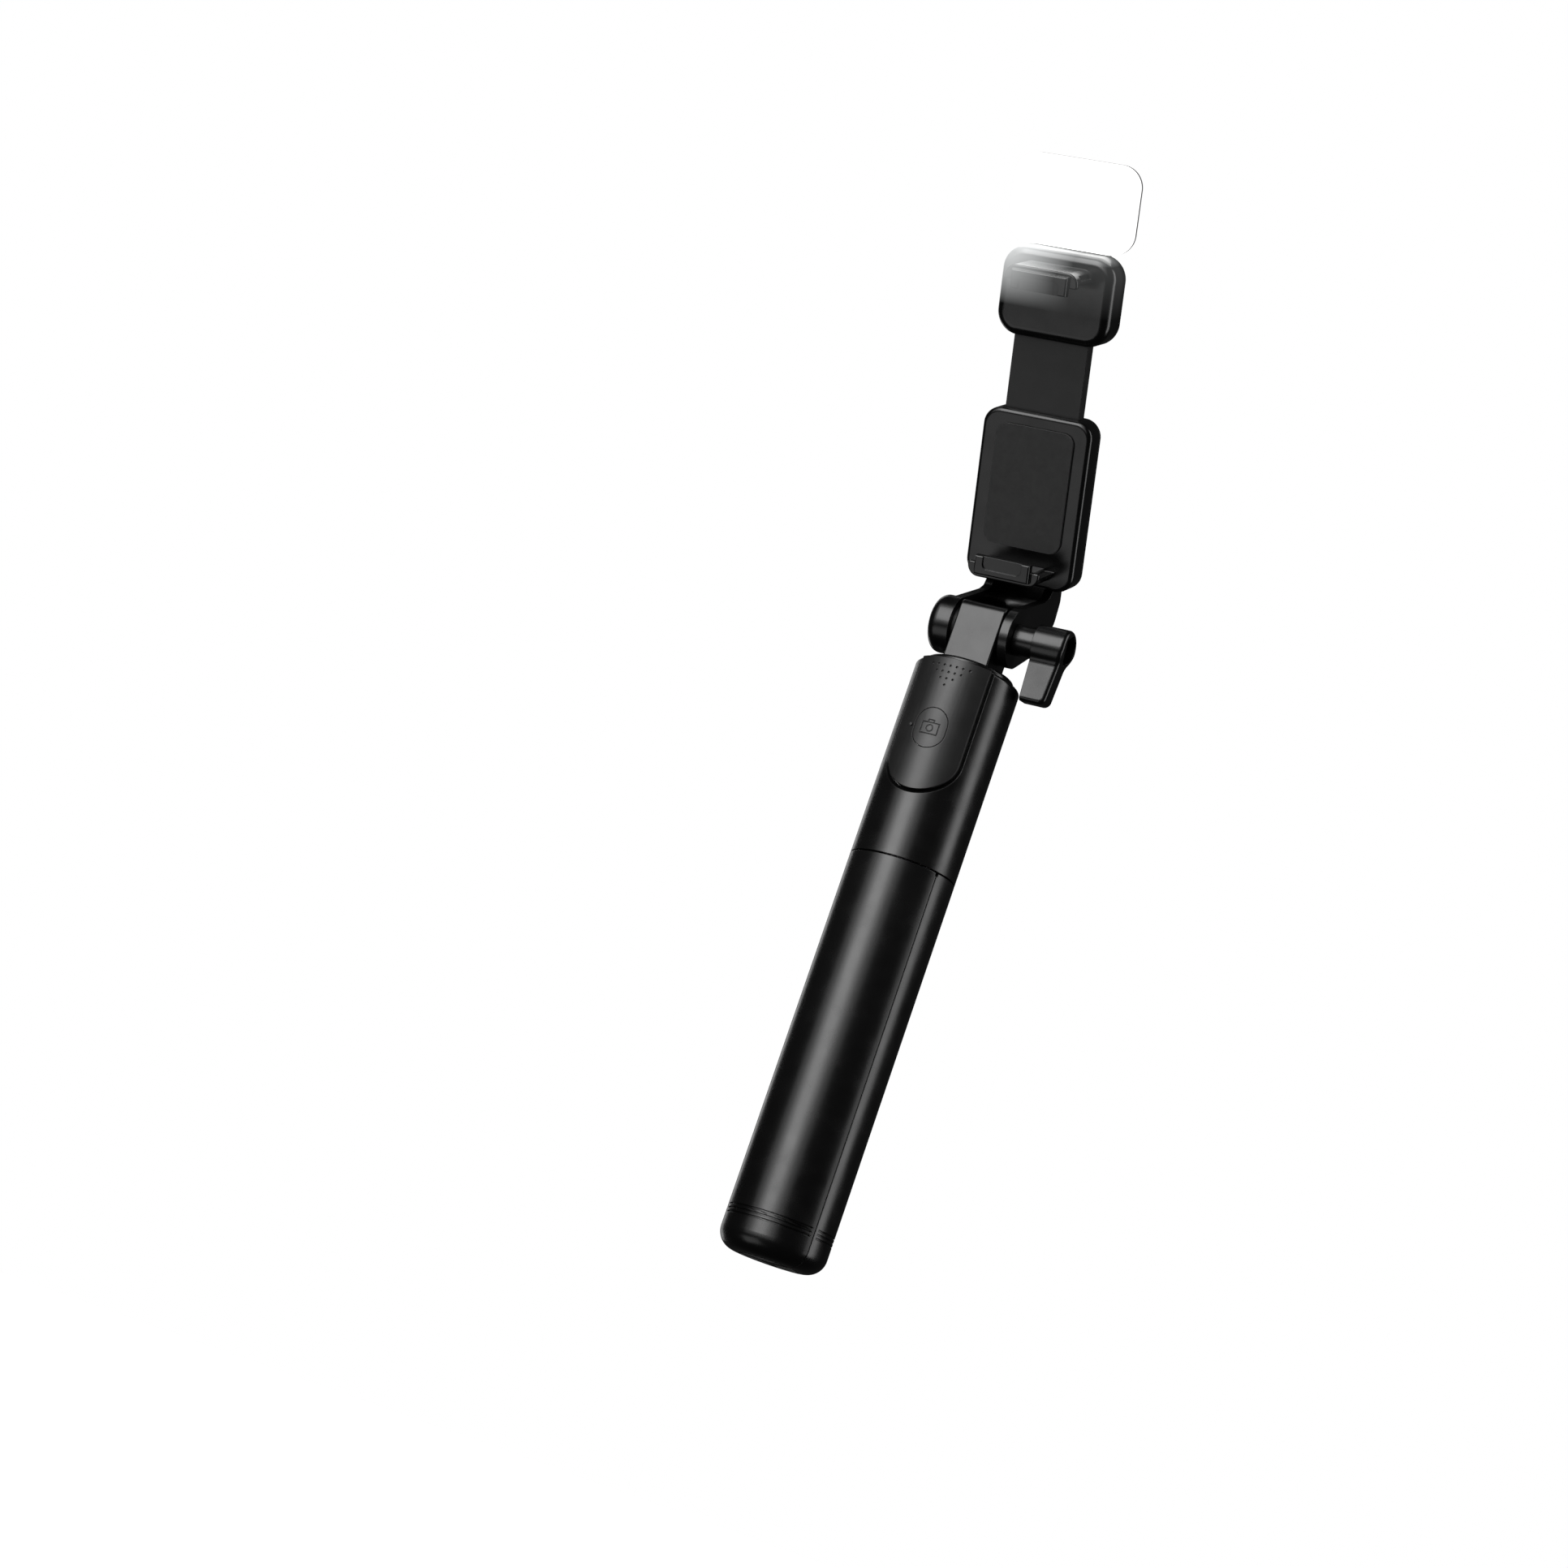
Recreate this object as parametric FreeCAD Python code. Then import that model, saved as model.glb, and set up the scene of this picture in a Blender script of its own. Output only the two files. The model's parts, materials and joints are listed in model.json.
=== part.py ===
import FreeCAD
import Part
import math
import os

# Selfie stick, millimetres. Origin: centre of the closed legs' foot plane. +Z up the pole,
# +X along the tilt axis towards the wing knob, -Y towards the remote and the phone's screen.

# Handle
HANDLE_R = 13.55
HANDLE_TOP = 154.0
LEG_TOP = 101.8
FOOT_PROUD = 0.12
SEAM = 0.4
LEG_GAP = 0.12
BASE_R = 4.8
GROOVE_Z = (8.3, 9.3, 10.3)
GROOVE_W = 0.42
GROOVE_D = 0.42

# Leg hinges
PIVOT_R = 12.0
PIVOT_Z = 99.4
PIN_R = 0.6
PIN_HALF = 3.8
LUG_R = 1.1
LUG_HALF = 1.6
LEG_SKIN = 1.85
LEG_INNER_R = 7.6
LEG_WALL = 1.5
RIB_Z = (22.0, 38.0, 54.0, 70.0, 86.0)
RIB_T = 1.4

# Pole
TUBE_R = 7.2
TUBE_WALL = 0.4
TUBE_STEP = 0.85
SECTIONS = 5
TUBE_TOP = 153.6
TUBE_BOTTOM = 8.0
CRIMP_H = 3.0
RING_H = 6.0
FIT = 0.05

# Remote and its pocket
REMOTE_HALF = 9.2
REMOTE_ARC_Z = HANDLE_TOP - 25.3
REMOTE_BACK = 8.7
POCKET_GAP = 0.3
POCKET_BACK = 8.5
RIM = 0.85
TOP_EDGE = 1.1
BUTTON_Z = HANDLE_TOP - 18.5
BUTTON_HALF_W = 4.3
BUTTON_STRAIGHT = 1.0
REMOTE_WALL = 0.95

# Head and tilt hinge
HINGE_Z = HANDLE_TOP + 12.35
TILT_DEG = 31.76
COLLAR_R = 11.5
COLLAR_Z = HANDLE_TOP + 0.15
COLLAR_H = 1.5
TONGUE_HALF = 6.1
TONGUE_DEPTH = 6.0
TONGUE_TOP = 6.3
TONGUE_ROUND = 2.6
HEEL_DEPTH = 9.3
HEEL_TOP = -8.8
EAR_IN = 6.9
EAR_OUT = 9.2
EAR_R = 7.5
BARREL_OUT = 13.1
BOLT_R = 1.95
NUT_FLATS = 7.0

# Wing knob, its lever swung back from straight down
KNOB_SWING = 8.5
SHANK_R = 4.0
HUB_R = 5.1
HUB_IN = 14.85
HUB_OUT = 23.4
LEVER_HALF = 3.05
LEVER_LOW = -15.0
HEAD_FLATS = 6.8

# Phone holder, in its own upright frame with the tilt axis as origin
LIP_FRONT = 6.1
LIP_BACK = 8.6
LIP_HALF = 7.5
LIP_WALL = 7.5
NECK_HALF = 9.8
PAD_LOW = 14.4
PAD_HIGH = 88.6
LIP_TIP = 3.2
NECK_T = 2.6
SPINE_HALF = 14.8
SPINE_FRONT = 18.0
SPINE_BACK = 25.5
SPINE_LOW = 9.3
SPINE_TOP = 53.5
SLAB_HALF = 15.2
SLAB_LOW = 72.0
SLAB_TOP = 94.5
SLAB_BACK = 28.0
PLATE_HALF = 10.0
PLATE_FRONT = 20.2
PLATE_BACK = 23.8
PLATE_LOW = 30.0

# Fill light
LIGHT_HALF = 16.4
LIGHT_LOW = 94.9
LIGHT_TOP = 117.0
LIGHT_FRONT = 22.3
LIGHT_BACK = 27.0
LIGHT_R = 5.5
LIGHT_AXIS_Y = 27.8
LIGHT_AXIS_Z = 92.9

V = FreeCAD.Vector
os.makedirs("parts", exist_ok=True)


def box(x0, x1, y0, y1, z0, z1):
    return Part.makeBox(x1 - x0, y1 - y0, z1 - z0, V(x0, y0, z0))


def cyl_z(r, z0, z1, x=0.0, y=0.0):
    return Part.makeCylinder(r, z1 - z0, V(x, y, z0), V(0, 0, 1))


def cyl_x(r, x0, x1, y=0.0, z=0.0):
    return Part.makeCylinder(r, x1 - x0, V(x0, y, z), V(1, 0, 0))


def cyl_y(r, y0, y1, x=0.0, z=0.0):
    return Part.makeCylinder(r, y1 - y0, V(x, y0, z), V(0, 1, 0))


def tube_z(r_out, r_in, z0, z1):
    return cyl_z(r_out, z0, z1).cut(cyl_z(r_in, z0 - 1.0, z1 + 1.0))


def prism(points, direction):
    wire = Part.makePolygon(points + [points[0]])
    return Part.Face(wire).extrude(direction)


def fillet(shape, r, picks):
    edges = [e for e in shape.Edges if picks(e)]
    return shape.makeFillet(r, edges)


def along(edge, axis, minimum=0.0):
    if not isinstance(edge.Curve, Part.Line):
        return False
    d = edge.tangentAt(edge.FirstParameter)
    return abs(abs(d.dot(axis)) - 1.0) < 1e-6 and edge.Length > minimum


def round_plate(x0, x1, z0, z1, y0, y1, r):
    """Plate across Y with rounded corners in the XZ plane."""
    return fillet(box(x0, x1, y0, y1, z0, z1), r, lambda e: along(e, V(0, 1, 0)))


def hexagon(flats, x0, x1):
    """Hexagonal prism along X with a corner at the top."""
    corner = flats / math.sqrt(3.0)
    angles = [math.radians(30 + 60 * i) for i in range(6)]
    pts = [V(x0, corner * math.cos(a), corner * math.sin(a)) for a in angles]
    return prism(pts, V(x1 - x0, 0, 0))


def tilted(shape):
    """Move a shape from the holder's upright frame to its place on the pole."""
    out = shape.copy()
    out.rotate(V(0, 0, 0), V(1, 0, 0), TILT_DEG)
    out.translate(V(0, 0, HINGE_Z))
    return out


def export(name, *shapes):
    shape = shapes[0] if len(shapes) == 1 else Part.makeCompound(list(shapes))
    shape.exportStep("parts/" + name + ".step")


# Legs

def wedge(half_deg, offset, z0, z1):
    """Sector about -Y, its two faces set back from the seams by the given offset."""
    a = math.radians(half_deg)
    apex = -offset / math.sin(a)
    pts = [V(0, apex, z0),
           V(40 * math.sin(a), apex - 40 * math.cos(a), z0),
           V(40, -60, z0),
           V(-40, -60, z0),
           V(-40 * math.sin(a), apex - 40 * math.cos(a), z0)]
    return prism(pts, V(0, 0, z1 - z0))


def leg_shell():
    outer = cyl_z(HANDLE_R, FOOT_PROUD, LEG_TOP)
    outer = fillet(outer, BASE_R, lambda e: e.BoundBox.ZMax < FOOT_PROUD + 0.01 and e.BoundBox.XLength > 20)
    leg = outer.common(wedge(60, LEG_GAP, 0, LEG_TOP + 1))
    leg = leg.cut(cyl_z(LEG_INNER_R, 5.5, LEG_TOP + 1))
    hollow = tube_z(HANDLE_R - LEG_SKIN, LEG_INNER_R - 1, 12.5, 94.5).common(wedge(60, LEG_WALL, 0, 200))
    for z in RIB_Z:
        hollow = hollow.cut(box(-20, 20, -20, 20, z, z + RIB_T))
    leg = leg.cut(hollow)
    ears = box(-3.95, 3.95, -HANDLE_R, 0, 94.5, LEG_TOP + 1)
    crown = tube_z(HANDLE_R - LEG_SKIN, 1.0, 94.6, LEG_TOP + 1)
    crown = crown.common(wedge(60, LEG_WALL, 0, 200)).cut(ears)
    leg = leg.cut(crown)
    leg = leg.cut(cyl_z(9.3, 92.0, LEG_TOP + 1))
    slot = box(-1.75, 1.75, -13.2, -8.0, PIVOT_Z - 1.35, LEG_TOP + 1)
    leg = leg.cut(slot)
    leg = leg.cut(cyl_x(PIN_R + FIT, -PIN_HALF - 0.1, PIN_HALF + 0.1, -PIVOT_R, PIVOT_Z))
    corner = cyl_z(20, LEG_TOP - 0.8, LEG_TOP + 1).cut(wedge(60, LEG_GAP + 0.35, 90, LEG_TOP + 2))
    leg = leg.cut(corner)
    for z in GROOVE_Z:
        ring = tube_z(HANDLE_R + 1, HANDLE_R - GROOVE_D, z - GROOVE_W / 2, z + GROOVE_W / 2)
        leg = leg.cut(ring.common(wedge(56, 0.0, 0, 20)))
    return leg.cut(foot_pad(0.05, 0.0))


def foot_pad(grow, z0):
    """Pad let into the leg's end: a sector that stops short of the seams."""
    pad = tube_z(7.2 + grow, 2.2 - grow, z0, 1.5 + grow)
    return pad.common(wedge(60, 1.3 - grow, -1, 3))


front_leg = leg_shell()
front_pad = foot_pad(0.0, 0.0)
for leg_name, turn in (("leg_front", 0), ("leg_rear_right", 120), ("leg_rear_left", -120)):
    shell = front_leg.copy()
    shell.rotate(V(0, 0, 0), V(0, 0, 1), turn)
    export(leg_name + "_shell", shell)
    pad = front_pad.copy()
    pad.rotate(V(0, 0, 0), V(0, 0, 1), turn)
    export(leg_name + "_foot_pad", pad)

hub = cyl_z(8.0, 96.5, 104.0).fuse(cyl_z(11.95, 102.75, 106.0))
pins = []
for turn in (0, 120, -120):
    lug = box(-LUG_HALF, LUG_HALF, -PIVOT_R, -7.4, PIVOT_Z - LUG_R, PIVOT_Z + LUG_R)
    lug = lug.fuse(cyl_x(LUG_R, -LUG_HALF, LUG_HALF, -PIVOT_R, PIVOT_Z))
    lug = lug.cut(cyl_x(PIN_R + 0.02, -5, 5, -PIVOT_R, PIVOT_Z))
    lug.rotate(V(0, 0, 0), V(0, 0, 1), turn)
    hub = hub.fuse(lug)
    pin = cyl_x(PIN_R, -PIN_HALF, PIN_HALF, -PIVOT_R, PIVOT_Z)
    pin.rotate(V(0, 0, 0), V(0, 0, 1), turn)
    pins.append(pin)
hub = hub.cut(cyl_z(TUBE_R + 0.05, 90, 110)).removeSplitter()
export("leg_hub", hub)
export("leg_pins", *pins)

# Telescoping pole

def pole_tube(index, z0, z1):
    """Tube number index, 0 the fixed outer one, with its end crimped onto the next tube in."""
    r = TUBE_R - index * TUBE_STEP
    body = tube_z(r, r - TUBE_WALL, z0, z1)
    if index < SECTIONS:
        next_r = r - TUBE_STEP
        body = body.fuse(tube_z(r - TUBE_WALL + 0.01, next_r + FIT, z1 - CRIMP_H, z1))
    return body


export("pole_outer_tube", pole_tube(0, 6.0, TUBE_TOP))
plug = cyl_z(TUBE_R - TUBE_WALL, 6.2, 7.7).cut(cyl_z(1.0, 6.0, 8.0))
export("pole_end_plug", plug)
for i in range(1, SECTIONS + 1):
    export("pole_section_%d" % i, pole_tube(i, TUBE_BOTTOM, TUBE_TOP))
    r = TUBE_R - i * TUBE_STEP
    export("pole_glide_%d" % i, tube_z(r + TUBE_STEP - TUBE_WALL - FIT, r, TUBE_BOTTOM, TUBE_BOTTOM + RING_H))

# Upper housing

def u_shape(half, arc_z, y0, y1, z_top):
    """Upright slab across Y with a half-round lower end."""
    return box(-half, half, y0, y1, arc_z, z_top).fuse(cyl_y(half, y0, y1, 0.0, arc_z))


pocket_half = REMOTE_HALF + POCKET_GAP
rounded = cyl_z(HANDLE_R, LEG_TOP + SEAM, HANDLE_TOP)
rounded = fillet(rounded, TOP_EDGE, lambda e: e.BoundBox.ZMin > HANDLE_TOP - 0.01 and e.BoundBox.XLength > 20)
pocket = u_shape(pocket_half, REMOTE_ARC_Z, -20, -POCKET_BACK, HANDLE_TOP + 5)
housing = cyl_z(HANDLE_R, LEG_TOP + SEAM, HANDLE_TOP).cut(pocket.removeSplitter()).removeSplitter()
rim = [e for e in housing.Edges
       if e.BoundBox.YMax < -POCKET_BACK - 0.5 and e.BoundBox.ZLength > 3 and e.BoundBox.ZMin > 105]
housing = housing.makeChamfer(RIM, rim)
housing = housing.common(rounded)
housing = housing.cut(cyl_z(TUBE_R + 0.05, 100, HANDLE_TOP + 1))
housing = housing.cut(cyl_z(12.85, 100, 102.72))
housing = housing.cut(cyl_z(12.0, 100, 107.5))
cavity = tube_z(11.7, 8.4, 107.5, HANDLE_TOP - 2.0)
cavity = cavity.cut(u_shape(pocket_half + 1.3, REMOTE_ARC_Z, -20, -POCKET_BACK + 1.2, HANDLE_TOP + 5))
cavity = cavity.cut(box(-1.0, 1.0, -20, 20, 100, HANDLE_TOP + 5))
cavity = cavity.cut(box(-20, 20, -1.0, 1.0, 100, HANDLE_TOP + 5))
housing = housing.cut(cavity)
export("upper_housing", housing)

# Remote

remote_outer = cyl_z(HANDLE_R, 100, HANDLE_TOP)
remote_outer = remote_outer.common(u_shape(REMOTE_HALF, REMOTE_ARC_Z, -20, -REMOTE_BACK, HANDLE_TOP + 5))
cover_split = -REMOTE_BACK - 0.6
front_shell = remote_outer.common(box(-20, 20, -20, cover_split, 100, 160))
inside = cyl_z(HANDLE_R - REMOTE_WALL, 100, HANDLE_TOP - 1.0)
inside = inside.common(u_shape(REMOTE_HALF - 1.0, REMOTE_ARC_Z, -20, cover_split + 0.1, HANDLE_TOP + 5))
front_shell = front_shell.cut(inside)
button_hole = box(-BUTTON_HALF_W, BUTTON_HALF_W, -20, -10, BUTTON_Z - BUTTON_STRAIGHT,
                  BUTTON_Z + BUTTON_STRAIGHT)
for dz in (-BUTTON_STRAIGHT, BUTTON_STRAIGHT):
    button_hole = button_hole.fuse(cyl_y(BUTTON_HALF_W, -20, -10, 0.0, BUTTON_Z + dz))
front_shell = front_shell.cut(button_hole)
front_shell = front_shell.cut(cyl_y(0.42, -20, -10, -5.3, BUTTON_Z))
for row in range(4):
    count = 7 - 2 * row
    z = HANDLE_TOP - 2.0 - 1.7 * row
    for k in range(count):
        x = (k - (count - 1) / 2.0) * 1.67
        surface = math.sqrt(HANDLE_R ** 2 - x ** 2)
        front_shell = front_shell.cut(cyl_y(0.27, -surface - 0.5, -surface + 0.4, x, z))
export("remote_front_shell", front_shell)
export("remote_back_cover", remote_outer.common(box(-20, 20, cover_split, 0, 100, 160)))

indicator = cyl_y(0.36, -12.9, -11.6, -5.3, BUTTON_Z)
export("remote_indicator", indicator)
pcb_y = cover_split - 0.15
export("remote_board", box(-7.0, 7.0, pcb_y - 0.6, pcb_y, HANDLE_TOP - 20.3, HANDLE_TOP - 2.0))
switch = box(-1.75, 1.75, pcb_y - 1.9, pcb_y - 0.6, BUTTON_Z - 1.75, BUTTON_Z + 1.75)
export("remote_switch", switch.fuse(cyl_y(0.9, pcb_y - 2.15, pcb_y - 1.9, 0.0, BUTTON_Z)))
export("remote_coin_cell", cyl_y(6.2, pcb_y - 1.35, pcb_y, 0.0, HANDLE_TOP - 27.0))

gap = 0.12
cap = box(-BUTTON_HALF_W + gap, BUTTON_HALF_W - gap, -20, -12.0, BUTTON_Z - BUTTON_STRAIGHT,
          BUTTON_Z + BUTTON_STRAIGHT)
for dz in (-BUTTON_STRAIGHT, BUTTON_STRAIGHT):
    cap = cap.fuse(cyl_y(BUTTON_HALF_W - gap, -20, -12.0, 0.0, BUTTON_Z + dz))
cap = cap.common(cyl_z(HANDLE_R, 100, HANDLE_TOP))
stem_end = pcb_y - 2.25 - 0.35
cap = cap.fuse(cyl_y(1.2, -12.6, stem_end, 0.0, BUTTON_Z))


def outline(w, h, line, x, z):
    frame = box(x - w / 2, x + w / 2, -20, -10, z - h / 2, z + h / 2)
    return frame.cut(box(x - w / 2 + line, x + w / 2 - line, -20, -10, z - h / 2 + line, z + h / 2 - line))


LINE = 0.2
glyph = outline(4.7, 3.1, LINE, 0.0, BUTTON_Z - 0.2)
viewfinder = outline(1.7, 0.9, LINE, 0.0, BUTTON_Z + 1.6)
glyph = glyph.fuse(viewfinder.cut(box(-0.65, 0.65, -20, -10, BUTTON_Z, BUTTON_Z + 1.5)))
lens = cyl_y(0.95, -20, -10, 0.0, BUTTON_Z - 0.2)
glyph = glyph.fuse(lens.cut(cyl_y(0.95 - LINE, -20, -10, 0.0, BUTTON_Z - 0.2)))
engraving = tube_z(HANDLE_R + 1, HANDLE_R - 0.16, 120, 150)
cap = cap.cut(glyph.common(engraving))
export("remote_button", cap)

# Swivel head

collar = cyl_z(COLLAR_R, COLLAR_Z, COLLAR_Z + COLLAR_H)
collar = fillet(collar, 0.9, lambda e: e.BoundBox.ZMin > COLLAR_Z + COLLAR_H - 0.01)
tongue = box(-TONGUE_HALF, TONGUE_HALF, -TONGUE_DEPTH, TONGUE_DEPTH, COLLAR_Z + 0.5, HINGE_Z + TONGUE_TOP)
tongue = fillet(tongue, TONGUE_ROUND, lambda e: along(e, V(1, 0, 0)) and e.BoundBox.ZMin > HINGE_Z)
tongue = fillet(tongue, 0.45, lambda e: abs(e.BoundBox.XLength) < 0.01 and e.BoundBox.ZMax > COLLAR_Z + 1.0)
heel = box(-TONGUE_HALF, TONGUE_HALF, 0.0, HEEL_DEPTH, COLLAR_Z + 0.5, HINGE_Z + HEEL_TOP)
heel = fillet(heel, 0.6, lambda e: e.BoundBox.YMin > HEEL_DEPTH - 0.01 and e.BoundBox.ZMax > COLLAR_Z + 1.0)
tongue = tongue.fuse(heel)
head = collar.fuse(tongue)
head = head.fuse(cyl_z(2.47, HANDLE_TOP - 12.0, COLLAR_Z + 1.0)).removeSplitter()
head = head.cut(cyl_x(BOLT_R + FIT, -20, 20, 0.0, HINGE_Z))
export("head_tongue", head)

washers = []
for side in (-1, 1):
    inner = TONGUE_HALF + 0.05
    outer = EAR_IN - 0.05
    x0 = inner if side > 0 else -outer
    washer = cyl_x(5.6, x0, x0 + outer - inner, 0.0, HINGE_Z)
    washers.append(washer.cut(cyl_x(BOLT_R + FIT, -20, 20, 0.0, HINGE_Z)))
export("tilt_washers", *washers)

# Phone holder: jaw halves are mirror images about the middle of the opening

def jaw_front():
    """Lower neck, front wall and raised lip; the pad's resting plane is PAD_LOW."""
    low = PAD_LOW - NECK_T
    body = box(-NECK_HALF, NECK_HALF, LIP_WALL, SPINE_FRONT + 1.0, low, PAD_LOW + 1.2)
    body = fillet(body, 3.0, lambda e: along(e, V(0, 1, 0)) and e.BoundBox.ZMax < PAD_LOW)
    body = fillet(body, 0.7, lambda e: along(e, V(0, 1, 0)) and e.BoundBox.ZMin > PAD_LOW)
    body = fillet(body, 0.45, lambda e: e.BoundBox.YMax < LIP_WALL + 0.01)
    body = body.cut(box(-20, 20, LIP_BACK, 40, PAD_LOW, PAD_LOW + 5))
    lip = box(-LIP_HALF, LIP_HALF, LIP_FRONT, LIP_BACK, low + 1.0, PAD_LOW + LIP_TIP)
    lip = fillet(lip, 0.45, lambda e: along(e, V(0, 0, 1)) or along(e, V(1, 0, 0)))
    inset = box(-5.3, 5.3, 0.0, LIP_FRONT + 0.45, PAD_LOW - 0.1, PAD_LOW + 9)
    inset = fillet(inset, 1.4, lambda e: along(e, V(0, 1, 0)) and e.BoundBox.ZMax < PAD_LOW)
    body = body.fuse(lip.cut(inset))
    for side in (-1, 1):
        x0 = NECK_HALF - 1.4 if side > 0 else -NECK_HALF - 1.0
        body = body.cut(box(x0, x0 + 2.4, 10.2, 16.8, low + 0.8, PAD_LOW - 0.7))
    return body


def jaw_pad():
    """Rubber strip lining the neck and the inside of the lip."""
    sole = box(-7.0, 7.0, LIP_BACK, SPINE_FRONT - 0.3, PAD_LOW, PAD_LOW + 0.6)
    upright = box(-7.0, 7.0, LIP_BACK, LIP_BACK + 0.6, PAD_LOW, PAD_LOW + LIP_TIP - 0.5)
    return sole.fuse(upright).removeSplitter()


def mirrored(shape):
    return shape.mirror(V(0, 0, (PAD_LOW + PAD_HIGH) / 2), V(0, 0, 1))


LOWER_EDGE = [(26.8, 5.0), (24.3, -0.7), (9.3, -6.8)]
HEEL_EDGE = SPINE_LOW + 0.4


def arm(x0, x1):
    """One yoke arm, seen from the side: ear, shank and upturned end under the spine."""
    outline = [(0.33, EAR_R), (16.0, 6.8), (18.8, 7.3), (21.0, HEEL_EDGE), (26.8, HEEL_EDGE)] + LOWER_EDGE
    pts = [V(x0, y, z) for y, z in outline + [(0.59, -EAR_R + 0.02)]]
    blade = prism(pts, V(x1 - x0, 0, 0))
    blade = fillet(blade, 3.5, lambda e: along(e, V(1, 0, 0)) and e.BoundBox.YMin > 24
                   and e.BoundBox.ZMax < 6)
    blade = fillet(blade, 1.6, lambda e: along(e, V(1, 0, 0)) and 15 < e.BoundBox.YMin < 22)
    blade = blade.fuse(cyl_x(EAR_R, x0, x1)).removeSplitter()
    return blade


def web():
    """Floor and rear wall between the arms, meeting in a hollow curve."""
    inner = [(8.5, -4.8), (24.5, 1.7), (24.5, HEEL_EDGE), (26.8, HEEL_EDGE)]
    x0 = -EAR_IN - 0.2
    pts = [V(x0, y, z) for y, z in inner + LOWER_EDGE]
    floor = prism(pts, V(-2 * x0, 0, 0))
    floor = fillet(floor, 4.5, lambda e: along(e, V(1, 0, 0)) and abs(e.BoundBox.ZMax - 1.7) < 0.01)
    floor = fillet(floor, 3.5, lambda e: along(e, V(1, 0, 0)) and e.BoundBox.YMin > 24.2
                   and e.BoundBox.ZMax < 6 and e.BoundBox.Center.y - e.BoundBox.Center.z > 20)
    return floor.cut(cyl_x(9.4, -20, 20))


spine = round_plate(-SPINE_HALF, SPINE_HALF, SPINE_LOW, SPINE_TOP, SPINE_FRONT, SPINE_BACK - 1.5, 4.6)
spine = fillet(spine, 1.2, lambda e: abs(e.BoundBox.YMax - SPINE_FRONT) < 0.01)
spine = spine.cut(box(-PLATE_HALF - 0.2, PLATE_HALF + 0.2, PLATE_FRONT - 0.2, SPINE_BACK, SPINE_LOW + 2.0,
                      SPINE_TOP + 1))
barrel = cyl_x(EAR_R, -BARREL_OUT, -EAR_OUT + 0.5)
barrel = fillet(barrel, 2.7, lambda e: e.BoundBox.XMax < -BARREL_OUT + 0.01)
yoke = arm(EAR_IN, EAR_OUT).fuse(arm(-EAR_OUT, -EAR_IN)).fuse(web()).fuse(barrel)
yoke = yoke.cut(box(-20, 20, SPINE_BACK - 1.5, 40, SPINE_LOW, 40))
yoke = yoke.cut(box(-PLATE_HALF - 0.2, PLATE_HALF + 0.2, PLATE_FRONT - 0.2, 40, SPINE_LOW + 2.0, 40))
holder = yoke.fuse(spine).fuse(jaw_front())
holder = holder.cut(cyl_x(BOLT_R + FIT, -14.0, 20))
holder = holder.cut(hexagon(NUT_FLATS + 0.1, -BARREL_OUT - 1.0, -BARREL_OUT + 4.5))
SCREWS = [(sx * 12.4, z) for sx in (-1, 1) for z in (15.0, 48.0)]
for x, z in SCREWS:
    holder = holder.cut(cyl_y(0.85, 20.0, 30.0, x, z))
holder = holder.removeSplitter()
export("holder_body", tilted(holder))

cover = round_plate(-SPINE_HALF, SPINE_HALF, SPINE_LOW, SPINE_TOP, SPINE_BACK - 1.5, SPINE_BACK, 4.6)
cover = fillet(cover, 0.8, lambda e: abs(e.BoundBox.YMin - SPINE_BACK) < 0.01)
heads = []
for x, z in SCREWS:
    cover = cover.cut(cyl_y(0.9, 20.0, 30.0, x, z)).cut(cyl_y(1.7, SPINE_BACK - 0.9, 30.0, x, z))
    screw = cyl_y(0.8, 20.4, SPINE_BACK - 0.5, x, z).fuse(cyl_y(1.6, SPINE_BACK - 0.9, SPINE_BACK - 0.1, x, z))
    screw = screw.cut(box(x - 1.0, x + 1.0, SPINE_BACK - 0.5, 30, z - 0.2, z + 0.2))
    screw = screw.cut(box(x - 0.2, x + 0.2, SPINE_BACK - 0.5, 30, z - 1.0, z + 1.0))
    heads.append(tilted(screw.removeSplitter()))
export("spine_cover", tilted(cover))
export("spine_screws", *heads)
back_pad = round_plate(-10.5, 10.5, 19.0, 50.0, SPINE_FRONT - 0.8, SPINE_FRONT, 3.0)
export("spine_pad", tilted(back_pad))
export("lower_jaw_pad", tilted(jaw_pad()))
nut = hexagon(NUT_FLATS, -BARREL_OUT + 1.2, -BARREL_OUT + 4.4).cut(cyl_x(BOLT_R + FIT, -20, 20))
export("tilt_nut", tilted(nut))

# Wing knob and bolt

def wing_section(x0, x1):
    """Hub with the lever hanging from it, the same all along X."""
    hub = cyl_x(HUB_R, x0, x1)
    lever = box(x0, x1, -LEVER_HALF, LEVER_HALF, LEVER_LOW - 1.0, 0)
    section = hub.fuse(lever).removeSplitter()
    return fillet(section, 2.4, lambda e: along(e, V(1, 0, 0), 5.0) and -5.0 < e.BoundBox.ZMin < -3.0)


def wing_outline():
    """What the wing fills as seen from the front, its outer side drawn in below the hub."""
    pts = [V(HUB_IN, -9, 8), V(HUB_OUT, -9, 8), V(HUB_OUT, -9, -0.5), V(22.55, -9, -5.0),
           V(21.45, -9, LEVER_LOW), V(HUB_IN, -9, LEVER_LOW)]
    outline = prism(pts, V(0, 18, 0))
    outline = fillet(outline, 5.0, lambda e: along(e, V(0, 1, 0)) and -5.1 < e.BoundBox.ZMin < -0.4)
    return fillet(outline, 1.8, lambda e: along(e, V(0, 1, 0)) and e.BoundBox.ZMax < LEVER_LOW + 0.01
                  and e.BoundBox.XMin > 20)


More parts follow.
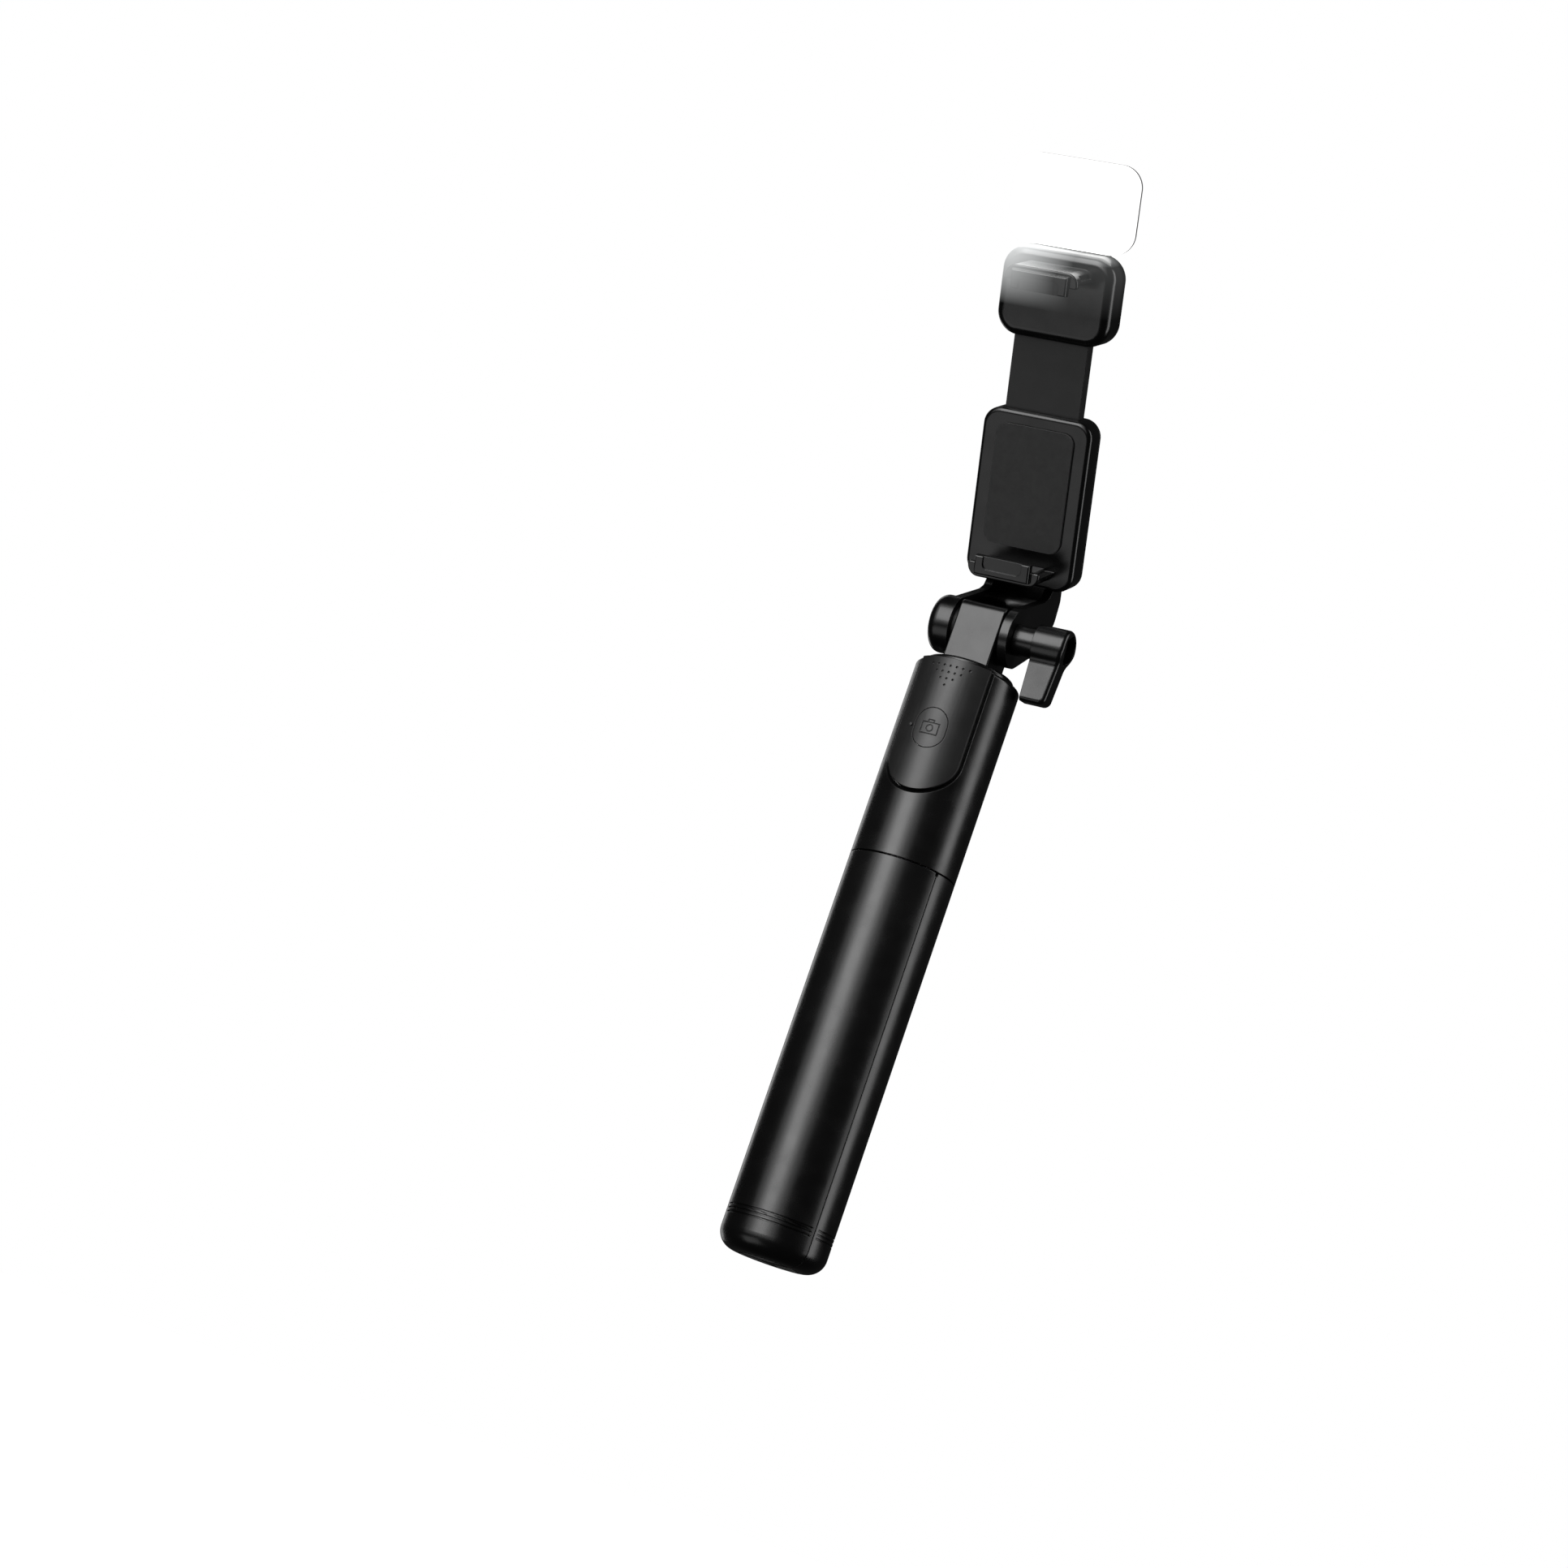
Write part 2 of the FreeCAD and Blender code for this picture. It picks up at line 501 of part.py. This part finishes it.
wing = wing_section(HUB_IN, HUB_OUT + 2.0).common(wing_outline()).removeSplitter()
wing = fillet(wing, 1.1, lambda e: not along(e, V(0, 1, 0))
              and (e.BoundBox.XMin > HUB_IN + 1 or e.BoundBox.ZMax < LEVER_LOW + 0.01))
shank = cyl_x(SHANK_R, EAR_OUT + 0.1, HUB_IN - 0.35).fuse(cyl_x(SHANK_R - 0.5, HUB_IN - 1.0, HUB_IN + 1.0))
knob = wing.fuse(shank).removeSplitter()
knob = knob.cut(hexagon(HEAD_FLATS + 0.1, 19.0, 30.0))
knob = knob.cut(cyl_x(BOLT_R + 0.02, 0, 30))
bolt = cyl_x(BOLT_R, -BARREL_OUT + 1.4, 19.1).fuse(hexagon(HEAD_FLATS, 19.05, 21.3)).removeSplitter()
for piece_name, piece in (("tilt_knob", knob), ("tilt_bolt", bolt)):
    piece.rotate(V(0, 0, 0), V(1, 0, 0), KNOB_SWING)
    piece.translate(V(0, 0, HINGE_Z))
    export(piece_name, piece)

# Sliding upper jaw

slab = round_plate(-SLAB_HALF, SLAB_HALF, SLAB_LOW, SLAB_TOP, SPINE_FRONT, SLAB_BACK, 6.0)
slab = fillet(slab, 2.4, lambda e: abs(e.BoundBox.YMax - SPINE_FRONT) < 0.01)
slab = fillet(slab, 2.0, lambda e: abs(e.BoundBox.YMin - SLAB_BACK) < 0.01)
upper = slab.fuse(mirrored(jaw_front()))
upper = upper.cut(box(-PLATE_HALF, PLATE_HALF, PLATE_FRONT, PLATE_BACK, SLAB_LOW - 1, SLAB_LOW + 14))
upper = upper.cut(box(-9.6, 9.6, 25.2, 40, LIGHT_AXIS_Z - 2.2, 100))
upper = upper.cut(box(-6.3, 6.3, 25.2, 40, LIGHT_AXIS_Z - 5.6, 100))
for x0 in (-9.5, 6.3):
    ear = cyl_x(1.9, x0, x0 + 3.2, LIGHT_AXIS_Y, LIGHT_AXIS_Z)
    ear = ear.fuse(box(x0, x0 + 3.2, 25.0, LIGHT_AXIS_Y, LIGHT_AXIS_Z - 2.3, LIGHT_AXIS_Z + 1.0))
    upper = upper.fuse(ear)
upper = upper.cut(cyl_x(0.82, -9.6, 9.6, LIGHT_AXIS_Y, LIGHT_AXIS_Z)).removeSplitter()
export("upper_jaw", tilted(upper))
export("upper_jaw_pad", tilted(mirrored(jaw_pad())))
plate = box(-PLATE_HALF, PLATE_HALF, PLATE_FRONT, PLATE_BACK, PLATE_LOW, SLAB_LOW + 14)
for x in (-5.0, 0.0, 5.0):
    plate = plate.cut(box(x - 1.2, x + 1.2, PLATE_BACK - 0.8, 40, PLATE_LOW + 3, SLAB_LOW - 3))
export("slider_plate", tilted(plate))

# Fill light

def light_block(y0, y1, inset, r):
    return round_plate(-LIGHT_HALF + inset, LIGHT_HALF - inset, LIGHT_LOW + inset, LIGHT_TOP - inset, y0, y1, r)


SPLIT = LIGHT_FRONT + 3.4
back_shell = light_block(SPLIT, LIGHT_BACK, 0.0, LIGHT_R)
back_shell = fillet(back_shell, 0.8, lambda e: abs(e.BoundBox.YMin - LIGHT_BACK) < 0.01)
arm_up = box(-6.0, 6.0, SPLIT, LIGHT_AXIS_Y, LIGHT_AXIS_Z, LIGHT_LOW + 0.6)
knuckle = cyl_x(1.9, -6.0, 6.0, LIGHT_AXIS_Y, LIGHT_AXIS_Z).fuse(arm_up)
knuckle = knuckle.cut(cyl_x(0.82, -10, 10, LIGHT_AXIS_Y, LIGHT_AXIS_Z))
back_shell = back_shell.fuse(knuckle)
LB_X = 9.0
LB_Z = 106.0
PORT_Y = 24.85
back_shell = back_shell.cut(cyl_y(2.2, LIGHT_BACK - 2, LIGHT_BACK + 1, LB_X, LB_Z))
back_shell = back_shell.removeSplitter()
export("light_back_shell", tilted(back_shell))
diffuser = light_block(LIGHT_FRONT, SPLIT, 0.0, LIGHT_R)
diffuser = fillet(diffuser, 0.9, lambda e: abs(e.BoundBox.YMax - LIGHT_FRONT) < 0.01)
diffuser = diffuser.cut(light_block(LIGHT_FRONT + 0.9, SPLIT + 1, 1.2, LIGHT_R - 1.2))
diffuser = diffuser.cut(box(-17, -14.8, PORT_Y - 0.05, PORT_Y + 0.8, LB_Z - 2.0, LB_Z + 2.0))
export("light_diffuser", tilted(diffuser))
board_y = LIGHT_FRONT + 1.8
export("light_board", tilted(light_block(board_y, board_y + 0.6, 1.35, LIGHT_R - 1.35)))
chips = []
for ix in range(6):
    for iz in range(4):
        x = (ix - 2.5) * 4.8
        z = (LIGHT_LOW + LIGHT_TOP) / 2 + (iz - 1.5) * 4.6
        chips.append(tilted(box(x - 1.1, x + 1.1, board_y - 0.6, board_y, z - 0.8, z + 0.8)))
export("light_leds", *chips)
export("light_cell", tilted(box(-13.0, 4.0, board_y + 0.7, board_y + 1.1, 99.0, 113.0)))
port = box(-15.1, -13.4, PORT_Y, PORT_Y + 0.75, LB_Z - 1.9, LB_Z + 1.9)
export("light_port", tilted(port.cut(box(-16, -13.9, PORT_Y + 0.15, PORT_Y + 0.6, LB_Z - 1.6, LB_Z + 1.6))))
light_button = cyl_y(2.1, LIGHT_BACK - 1.0, LIGHT_BACK + 0.35, LB_X, LB_Z)
light_button = fillet(light_button, 0.3, lambda e: e.BoundBox.YMin > LIGHT_BACK + 0.3)
export("light_button", tilted(light_button))
export("light_hinge_pin", tilted(cyl_x(0.77, -9.4, 9.4, LIGHT_AXIS_Y, LIGHT_AXIS_Z)))
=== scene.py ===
import json
import math

import bmesh
import bpy
from mathutils import Matrix, Vector

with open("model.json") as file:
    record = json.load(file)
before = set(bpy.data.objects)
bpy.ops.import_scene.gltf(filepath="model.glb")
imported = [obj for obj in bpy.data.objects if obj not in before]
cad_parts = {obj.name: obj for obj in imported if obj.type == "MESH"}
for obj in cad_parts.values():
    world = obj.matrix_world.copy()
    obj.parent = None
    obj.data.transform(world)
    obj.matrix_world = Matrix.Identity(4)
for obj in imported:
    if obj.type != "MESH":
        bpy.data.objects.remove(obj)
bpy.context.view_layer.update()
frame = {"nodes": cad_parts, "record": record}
MM = 0.001
nodes = frame["nodes"]

# The phone holder's own frame: origin on the tilt hinge, leaning towards -Y
HINGE_Z = 0.16635
TILT = math.radians(31.76)
HOLDER = Matrix.Translation((0, 0, HINGE_Z)) @ Matrix.Rotation(TILT, 4, "X")

# Heights, depths and widths of the lamp's glare, in the holder's frame
GLARE = 0.85
EDGE_GLARE = 0.3
JAW_TOP = 0.0955
GLARE_LOW = 0.0795
EDGE_LOW = 0.0925
GLARE_LEFT, GLARE_RIGHT, RIGHT_SHARE = -0.0132, 0.0040, 0.06
FRONT_DEPTH, BACK_DEPTH = 0.0235, 0.0285

# Where the lamp cover's skirt darkens, and its back edge
SKIRT_FROM, SKIRT_TO = 0.0249, 0.0257

KEY_AZIMUTH, SIDE_AZIMUTH = -14, 105
# Width, height, radiance and distance of each part
KEY_PARTS = ((2.3, 2.4, 0.9, 1.68), (1.3, 1.5, 1.9, 1.64), (0.68, 1.5, 3.0, 1.6))
SIDE_PARTS = ((0.9, 2.4, 1.3, 1.64), (0.45, 2.4, 1.7, 1.6))


# Materials

class Shader:
    """A short way to build a node material."""

    def __init__(self, name):
        self.mat = bpy.data.materials.new(name)
        self.mat.use_nodes = True
        self.tree = self.mat.node_tree
        self.bsdf = self.tree.nodes["Principled BSDF"]
        self.coords = self.tree.nodes.new("ShaderNodeTexCoord")

    def node(self, kind, **settings):
        n = self.tree.nodes.new(kind)
        for key, value in settings.items():
            if key.startswith("in_"):
                n.inputs[key[3:].replace("_", " ")].default_value = value
            else:
                setattr(n, key, value)
        return n

    def link(self, a, b):
        self.tree.links.new(a, b)

    def set(self, **values):
        for key, value in values.items():
            self.bsdf.inputs[key.replace("_", " ")].default_value = value

    def noise(self, scale, detail=4.0, stretch=None):
        n = self.node("ShaderNodeTexNoise", in_Scale=scale, in_Detail=detail)
        if stretch:
            m = self.node("ShaderNodeMapping")
            m.inputs["Scale"].default_value = stretch
            self.link(self.coords.outputs["Object"], m.inputs["Vector"])
            self.link(m.outputs["Vector"], n.inputs["Vector"])
        else:
            self.link(self.coords.outputs["Object"], n.inputs["Vector"])
        return n.outputs["Fac"]

    def ramp(self, fac, stops):
        n = self.node("ShaderNodeValToRGB")
        while len(n.color_ramp.elements) < len(stops):
            n.color_ramp.elements.new(0.5)
        for e, (pos, col) in zip(n.color_ramp.elements, stops):
            e.position = pos
            e.color = col if len(col) == 4 else (*col, 1)
        self.link(fac, n.inputs["Fac"])
        return n.outputs["Color"]

    def reach(self, direction, origin):
        """Distance of a point from the origin along a direction, in the object's own frame."""
        n = self.node("ShaderNodeVectorMath", operation="SUBTRACT")
        self.link(self.coords.outputs["Object"], n.inputs[0])
        n.inputs[1].default_value = origin
        dot = self.node("ShaderNodeVectorMath", operation="DOT_PRODUCT")
        self.link(n.outputs["Vector"], dot.inputs[0])
        dot.inputs[1].default_value = direction
        return dot.outputs["Value"]

    def span(self, fac, low, high, a=0.0, b=1.0):
        n = self.node("ShaderNodeMapRange")
        for key, value in (("From Min", a), ("From Max", b), ("To Min", low), ("To Max", high)):
            n.inputs[key].default_value = value
        self.link(fac, n.inputs["Value"])
        return n.outputs["Result"]

    def maths(self, operation, a, b):
        n = self.node("ShaderNodeMath", operation=operation)
        self.link(a, n.inputs[0])
        self.link(b, n.inputs[1])
        return n.outputs[0]

    def bump(self, fac, strength, distance, edge=0.0):
        """Surface grain; with an edge radius, sharp edges also catch light as rounded ones do."""
        n = self.node("ShaderNodeBump", in_Strength=strength, in_Distance=distance)
        self.link(fac, n.inputs["Height"])
        if edge:
            bevel = self.node("ShaderNodeBevel", samples=6, in_Radius=edge)
            self.link(bevel.outputs["Normal"], n.inputs["Normal"])
        self.link(n.outputs["Normal"], self.bsdf.inputs["Normal"])
        return n


def grey(v, tint=(1.0, 1.0, 1.0)):
    return (v * tint[0], v * tint[1], v * tint[2], 1.0)


def moulded_shader(name, dark, light, rough, grain=2200.0, grain_depth=0.00001, wear=0.003,
                   rounding=0.00022):
    """Moulded plastic: colour drifts a little, a fine spark-eroded grain, edges polished by handling."""
    s = Shader(name)
    drift = s.noise(60.0, 3.0)
    base = s.ramp(drift, [(0.3, grey(dark)), (0.75, grey(light, (1.0, 1.0, 1.03)))])
    geo = s.node("ShaderNodeNewGeometry")
    edge = s.span(geo.outputs["Pointiness"], 0.0, 1.0, 0.56, 0.66)
    mix = s.node("ShaderNodeMix", data_type="RGBA")
    s.link(edge, mix.inputs[0])
    s.link(base, mix.inputs[6])
    mix.inputs[7].default_value = grey(light + wear)
    s.link(mix.outputs[2], s.bsdf.inputs["Base Color"])
    rub = s.noise(180.0, 5.0)
    s.link(s.span(rub, rough - 0.03, rough + 0.04, 0.3, 0.7), s.bsdf.inputs["Roughness"])
    s.bump(s.noise(grain, 2.0), 0.25, grain_depth, rounding)
    s.set(Specular_IOR_Level=0.5, IOR=1.5)
    return s


def moulded(name, dark, light, rough):
    return moulded_shader(name, dark, light, rough).mat


def jaw_plastic(name, dark, light, rough):
    """The holder's plastic; emission on the upper jaw's front faces stands for glare beside the lamp."""
    s = moulded_shader(name, dark, light, rough)
    origin = HOLDER.translation
    across = s.reach(HOLDER.col[0].xyz, origin)
    depth = s.reach(HOLDER.col[1].xyz, origin)
    height = s.reach(HOLDER.col[2].xyz, origin)
    side = s.maths("MULTIPLY", s.span(height, 0.0, GLARE, GLARE_LOW, JAW_TOP),
                   s.span(across, 1.0, RIGHT_SHARE, GLARE_LEFT, GLARE_RIGHT))
    glare = s.maths("ADD", side, s.span(height, 0.0, EDGE_GLARE, EDGE_LOW, JAW_TOP))
    front = s.maths("MULTIPLY", glare, s.span(depth, 1.0, 0.0, FRONT_DEPTH, BACK_DEPTH))
    s.set(Emission_Color=(0.98, 1.0, 1.0, 1.0))
    s.link(front, s.bsdf.inputs["Emission Strength"])
    return s.mat


def rubber(name, value):
    s = Shader(name)
    base = s.ramp(s.noise(400.0), [(0.3, grey(value * 0.8)), (0.7, grey(value * 1.3))])
    s.link(base, s.bsdf.inputs["Base Color"])
    s.link(s.span(s.noise(900.0), 0.62, 0.78), s.bsdf.inputs["Roughness"])
    s.bump(s.noise(1500.0), 0.4, 0.00004)
    s.set(Sheen_Weight=0.15, Sheen_Roughness=0.5)
    return s.mat


def metal(name, colour, rough, stretch=None, scratch=0.05):
    s = Shader(name)
    streak = s.noise(900.0, 6.0, stretch)
    base = s.ramp(streak, [(0.25, tuple(c * 0.82 for c in colour)), (0.8, colour)])
    s.link(base, s.bsdf.inputs["Base Color"])
    s.link(s.span(streak, rough - scratch, rough + scratch), s.bsdf.inputs["Roughness"])
    s.bump(streak, 0.15, 0.00001)
    s.set(Metallic=1.0)
    return s.mat


def diffuser():
    """Lit opal plastic, dimmer where its skirt meets the back shell."""
    s = Shader("diffuser_opal")
    depth = s.reach(HOLDER.col[1].xyz, HOLDER.translation)
    skirt = s.span(depth, 0.0, 1.0, SKIRT_FROM, SKIRT_TO)
    s.link(s.ramp(skirt, [(0.0, grey(0.93)), (1.0, grey(0.12))]), s.bsdf.inputs["Base Color"])
    lit = s.maths("MULTIPLY", s.span(s.noise(40.0, 2.0), 1.7, 2.0), s.span(skirt, 1.0, 0.03))
    s.link(lit, s.bsdf.inputs["Emission Strength"])
    s.set(Roughness=0.35, Emission_Color=(1.0, 0.995, 0.985, 1))
    return s.mat


def painted(name, colour, rough, scale=300.0):
    s = Shader(name)
    low = tuple(c * 0.85 for c in colour)
    s.link(s.ramp(s.noise(scale), [(0.3, low), (0.7, colour)]), s.bsdf.inputs["Base Color"])
    s.link(s.span(s.noise(scale * 2), rough - 0.05, rough + 0.05), s.bsdf.inputs["Roughness"])
    s.bump(s.noise(scale * 4), 0.1, 0.00001)
    return s.mat


MATERIALS = {
    "housing_abs": moulded("housing_abs", 0.0015, 0.0022, 0.25),
    "leg_abs": moulded("leg_abs", 0.0014, 0.0021, 0.25),
    "head_abs": moulded("head_abs", 0.0018, 0.0027, 0.25),
    "holder_abs": jaw_plastic("holder_abs", 0.0016, 0.0024, 0.22),
    "knob_abs": moulded("knob_abs", 0.0018, 0.0027, 0.25),
    "slider_abs": moulded("slider_abs", 0.0035, 0.0050, 0.38),
    "remote_abs": moulded("remote_abs", 0.0085, 0.0115, 0.37),
    "button_abs": moulded("button_abs", 0.0095, 0.0125, 0.38),
    "light_shell_abs": moulded("light_shell_abs", 0.10, 0.13, 0.35),
    "rubber": rubber("rubber", 0.010),
    "tube_steel": metal("tube_steel", (0.66, 0.66, 0.67), 0.22, (1, 1, 0.02)),
    "glide_pom": painted("glide_pom", (0.72, 0.72, 0.69), 0.4),
    "washer_nylon": painted("washer_nylon", (0.006, 0.006, 0.006), 0.5),
    "hub_metal": metal("hub_metal", (0.34, 0.34, 0.35), 0.42),
    "steel": metal("steel", (0.55, 0.55, 0.56), 0.28),
    "black_steel": painted("black_steel", (0.008, 0.008, 0.008), 0.38),
    "diffuser_opal": diffuser(),
    "board_white": painted("board_white", (0.85, 0.85, 0.82), 0.35),
    "board_green": painted("board_green", (0.02, 0.14, 0.06), 0.35),
    "led_chip": painted("led_chip", (0.9, 0.75, 0.2), 0.2),
    "cell_foil": metal("cell_foil", (0.6, 0.6, 0.62), 0.35),
    "cell_steel": metal("cell_steel", (0.7, 0.7, 0.71), 0.2),
    "port_metal": metal("port_metal", (0.6, 0.6, 0.6), 0.3),
    "indicator_lens": painted("indicator_lens", (0.002, 0.002, 0.003), 0.6),
}
SLOT = {p["node"]: p["material_slot"] for p in frame["record"]["subparts"]}
for name, obj in nodes.items():
    obj.data.materials.clear()
    obj.data.materials.append(MATERIALS[SLOT[name]])

# Studio

def area(name, azimuth, elevation, distance, width, height, radiance, target=(0, 0, 0.16)):
    """Softbox at an azimuth from -Y towards +X, facing the target. Radiance is what a mirror would show."""
    data = bpy.data.lights.new(name, "AREA")
    data.shape = "RECTANGLE"
    data.size = width
    data.size_y = height
    data.energy = radiance * width * height * math.pi
    obj = bpy.data.objects.new(name, data)
    bpy.context.collection.objects.link(obj)
    a, e = math.radians(azimuth), math.radians(elevation)
    offset = Vector((math.sin(a) * math.cos(e), -math.cos(a) * math.cos(e), math.sin(e))) * distance
    obj.location = Vector(target) + offset
    obj.rotation_euler = (-offset).to_track_quat("-Z", "Y").to_euler()
    return obj


# The two main softboxes are brighter towards their middles. Their parts stand at different distances,
# because panels in one plane would hide each other in reflections.
for width, height, radiance, distance in KEY_PARTS:
    area("key_softbox", KEY_AZIMUTH, 20, distance, width, height, radiance)
for width, height, radiance, distance in SIDE_PARTS:
    area("side_softbox", SIDE_AZIMUTH, 15, distance, width, height, radiance)
area("rim_strip", -133, 15, 1.6, 0.6, 2.2, 0.9)
area("low_bounce", -35, -44, 1.6, 0.9, 0.7, 0.9)

# The lit lamp brightens the jaw just below it.
glow = area("lamp_glow", 0, 0, 0.02, 0.024, 0.012, 2.0)
glow.location = HOLDER @ Vector((-0.009, 0.003, 0.106))
glow_aim = HOLDER @ Vector((-0.005, 0.018, 0.088)) - glow.location
glow.rotation_euler = glow_aim.to_track_quat("-Z", "Y").to_euler()
glow.visible_camera = False
glow.visible_glossy = False

world = bpy.data.worlds.new("studio")
bpy.context.scene.world = world
world.use_nodes = True
tree = world.node_tree
background = tree.nodes["Background"]
path = tree.nodes.new("ShaderNodeLightPath")
seen = tree.nodes.new("ShaderNodeMapRange")
seen.inputs["To Min"].default_value = 0.02
seen.inputs["To Max"].default_value = 1.0
tree.links.new(path.outputs["Is Camera Ray"], seen.inputs["Value"])
tree.links.new(seen.outputs["Result"], background.inputs["Strength"])
background.inputs["Color"].default_value = (1, 1, 1, 1)

mesh = bpy.data.meshes.new("floor")
bm = bmesh.new()
bmesh.ops.create_grid(bm, x_segments=1, y_segments=1, size=20.0)
bm.to_mesh(mesh)
bm.free()
floor = bpy.data.objects.new("floor", mesh)
bpy.context.collection.objects.link(floor)
floor.location = (0, 0, -0.085)
fm = Shader("floor")
fm.set(Base_Color=(0.9, 0.9, 0.9, 1), Roughness=0.9, Emission_Color=(1, 1, 1, 1), Emission_Strength=1.0)
mesh.materials.append(fm.mat)
floor.visible_glossy = False
floor.visible_diffuse = False
floor.visible_shadow = False

# Camera
cam_data = bpy.data.cameras.new("photo_camera")
cam_data.sensor_width = 36.0
cam_data.lens = 36.0 * 4150.0 / 1932.0
cam = bpy.data.objects.new("photo_camera", cam_data)
bpy.context.collection.objects.link(cam)
right = Vector((0.888, 0.3245, 0.3258)).normalized()
forward = Vector((-0.4023, 0.8914, 0.2087))
forward = (forward - right * forward.dot(right)).normalized()
up = right.cross(forward)
m = Matrix((right, up, -forward)).transposed().to_4x4()
m.translation = Vector((0.3044, -0.7587, -0.0618))
cam.matrix_world = m
bpy.context.scene.camera = cam
bpy.context.scene.view_settings.view_transform = "Standard"
